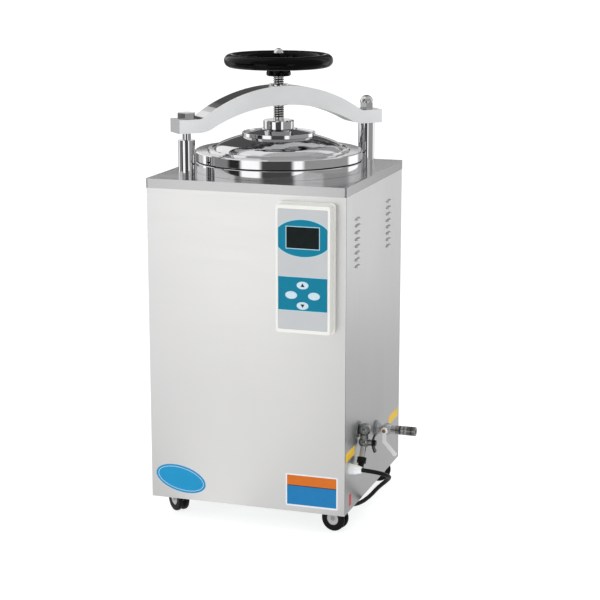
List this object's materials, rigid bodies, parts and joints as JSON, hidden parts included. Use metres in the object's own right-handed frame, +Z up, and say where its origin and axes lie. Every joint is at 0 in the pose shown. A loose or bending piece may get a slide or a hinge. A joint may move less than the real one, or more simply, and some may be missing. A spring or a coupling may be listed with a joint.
{
  "type": "autoclave",
  "caption": "Vertical steam steriliser: a square steel cabinet on casters with a round pressure chamber, a screw-clamped dished lid under a swinging yoke and a keypad control box.",
  "frame": {"origin": "on the floor under the middle of the whole part's box, cord left out", "axes": "+X to the side with the valves, +Y to the back, +Z up"},
  "size_m": [0.534, 0.4718, 1.0131],
  "materials": {
    "panel_steel": "brushed stainless sheet",
    "cover_steel": "mirror polished stainless sheet",
    "dark_steel": "grey paint",
    "vessel_steel": "satin stainless",
    "insulation": "glass wool blanket",
    "heater_steel": "heat tinted sheath",
    "polished_steel": "mirror polished stainless",
    "housing_plastic": "moulded off-white",
    "membrane": "silver grey printed film",
    "display_glass": "dark window",
    "board": "green circuit board",
    "valve_chrome": "plated",
    "black_plastic": "black",
    "copper_pipe": "bare copper tube",
    "brass_fittings": "bare brass",
    "white_plastic": "white nylon",
    "cord_rubber": "black",
    "zinc_steel": "zinc plated",
    "yoke_steel": "satin stainless",
    "seal_rubber": "black silicone",
    "screw_steel": "turned steel",
    "wheel_black": "glossy black bakelite",
    "key_plastic": "pale blue film",
    "tyre": "black tread on a grey hub"
  },
  "bodies": {
    "cabinet": {"base_plate": "dark_steel", "front_panel": "panel_steel", "left_panel": "panel_steel", "right_panel": "panel_steel", "rear_panel": "panel_steel", "top_cover": "cover_steel", "post_carrier": "dark_steel", "vessel_flange": "vessel_steel", "pressure_vessel": "vessel_steel", "insulation_jacket": "insulation", "vessel_legs": "dark_steel", "heating_element": "heater_steel", "heater_grid": "vessel_steel", "temperature_probe": "brass_fittings", "pivot_post": "polished_steel", "pivot_nut": "polished_steel", "latch_post": "polished_steel", "control_housing": "housing_plastic", "membrane_panel": "membrane", "display_window": "display_glass", "control_board": "board", "drain_valve": "valve_chrome", "drain_spout": "valve_chrome", "drain_hose_tail": "black_plastic", "drain_pipe": "copper_pipe", "exhaust_valve": "valve_chrome", "exhaust_nozzle": "valve_chrome", "exhaust_pipe": "copper_pipe", "valve_washers": "valve_chrome", "safety_valve": "brass_fittings", "cable_gland": "white_plastic", "power_cord": "cord_rubber", "cord_coil": "cord_rubber", "power_plug": "cord_rubber", "caster_plates": "zinc_steel"},
    "yoke": {"yoke_beam": "yoke_steel", "screw_bush": "yoke_steel"},
    "lid": {"lid_shell": "polished_steel", "lid_seal": "seal_rubber", "lid_disc": "polished_steel", "foot_collar": "polished_steel"},
    "wheel": {"clamp_screw": "screw_steel", "handwheel": "wheel_black", "wheel_nut": "polished_steel"},
    "drain_tap": {"drain_handle": "valve_chrome"},
    "exhaust_tap": {"exhaust_lever": "valve_chrome"},
    "up_key": {"key_up": "key_plastic"},
    "down_key": {"key_down": "key_plastic"},
    "left_key": {"key_left": "key_plastic"},
    "right_key": {"key_right": "key_plastic"},
    "loading_basket": {"basket": "vessel_steel"},
    "bail": {"basket_bail": "vessel_steel"},
    "caster_front_left": {"fork_front_left": "zinc_steel"},
    "roller_front_left": {"wheel_front_left": "tyre"},
    "caster_front_right": {"fork_front_right": "zinc_steel"},
    "roller_front_right": {"wheel_front_right": "tyre"},
    "caster_rear_left": {"fork_rear_left": "zinc_steel"},
    "roller_rear_left": {"wheel_rear_left": "tyre"},
    "caster_rear_right": {"fork_rear_right": "zinc_steel"},
    "roller_rear_right": {"wheel_rear_right": "tyre"}
  },
  "joints": [
    {"name": "yoke_swing", "type": "hinge", "parent": "cabinet", "child": "yoke", "pos_m": [0.1086, 0.16865, 0.8429], "axis": [0, 0, 1], "range_deg": [0, 135]},
    {"name": "lid_lift", "type": "slide", "parent": "yoke", "child": "lid", "axis": [0, 0, 1], "range_m": [0, 0.025]},
    {"name": "wheel_turn", "type": "hinge", "parent": "lid", "child": "wheel", "pos_m": [-0.04555, 0.0145, 0.9869], "axis": [0, 0, 1], "range_deg": [0, 1800]},
    {"name": "drain_turn", "type": "hinge", "parent": "cabinet", "child": "drain_tap", "pos_m": [0.18845, -0.1055, 0.185], "axis": [1, 0, 0], "range_deg": [0, 90]},
    {"name": "exhaust_turn", "type": "hinge", "parent": "cabinet", "child": "exhaust_tap", "pos_m": [0.20045, 0.0145, 0.177], "axis": [0, -1, 0], "range_deg": [0, 90]},
    {"name": "up_press", "type": "slide", "parent": "cabinet", "child": "up_key", "axis": [0, 1, 0], "range_m": [0, 0.0005], "stiffness_N_per_m": 2000, "springref_m": -0.0005},
    {"name": "down_press", "type": "slide", "parent": "cabinet", "child": "down_key", "axis": [0, 1, 0], "range_m": [0, 0.0005], "stiffness_N_per_m": 2000, "springref_m": -0.0005},
    {"name": "left_press", "type": "slide", "parent": "cabinet", "child": "left_key", "axis": [0, 1, 0], "range_m": [0, 0.0005], "stiffness_N_per_m": 2000, "springref_m": -0.0005},
    {"name": "right_press", "type": "slide", "parent": "cabinet", "child": "right_key", "axis": [0, 1, 0], "range_m": [0, 0.0005], "stiffness_N_per_m": 2000, "springref_m": -0.0005},
    {"name": "basket_lift", "type": "slide", "parent": "cabinet", "child": "loading_basket", "axis": [0, 0, 1], "range_m": [0, 0.15]},
    {"name": "bail_swing", "type": "hinge", "parent": "loading_basket", "child": "bail", "pos_m": [-0.04555, 0.0145, 0.5992], "axis": [-1, 0, 0], "range_deg": [0, 180]},
    {"name": "swivel_front_left", "type": "hinge", "parent": "cabinet", "child": "caster_front_left", "pos_m": [-0.21555, -0.1555, 0.027], "axis": [0, 0, 1], "continuous": true},
    {"name": "roll_front_left", "type": "hinge", "parent": "caster_front_left", "child": "roller_front_left", "pos_m": [-0.22781, -0.14522, 0.027], "axis": [-0.6428, -0.766, 0], "continuous": true},
    {"name": "swivel_front_right", "type": "hinge", "parent": "cabinet", "child": "caster_front_right", "pos_m": [0.12445, -0.1555, 0.027], "axis": [0, 0, 1], "continuous": true},
    {"name": "roll_front_right", "type": "hinge", "parent": "caster_front_right", "child": "roller_front_right", "pos_m": [0.1401, -0.15883, 0.027], "axis": [0.2079, 0.9781, 0], "continuous": true},
    {"name": "swivel_rear_left", "type": "hinge", "parent": "cabinet", "child": "caster_rear_left", "pos_m": [-0.21555, 0.1845, 0.027], "axis": [0, 0, 1], "continuous": true},
    {"name": "roll_rear_left", "type": "hinge", "parent": "caster_rear_left", "child": "roller_rear_left", "pos_m": [-0.22941, 0.1925, 0.027], "axis": [-0.5, -0.866, 0], "continuous": true},
    {"name": "swivel_rear_right", "type": "hinge", "parent": "cabinet", "child": "caster_rear_right", "pos_m": [0.12445, 0.1845, 0.027], "axis": [0, 0, 1], "continuous": true},
    {"name": "roll_rear_right", "type": "hinge", "parent": "caster_rear_right", "child": "roller_rear_right", "pos_m": [0.13831, 0.1925, 0.027], "axis": [-0.5, 0.866, 0], "continuous": true}
  ],
  "couplings": [
    {"joint": "wheel_turn", "follows": "lid_lift", "rad_per_m": 1256.6}
  ]
}
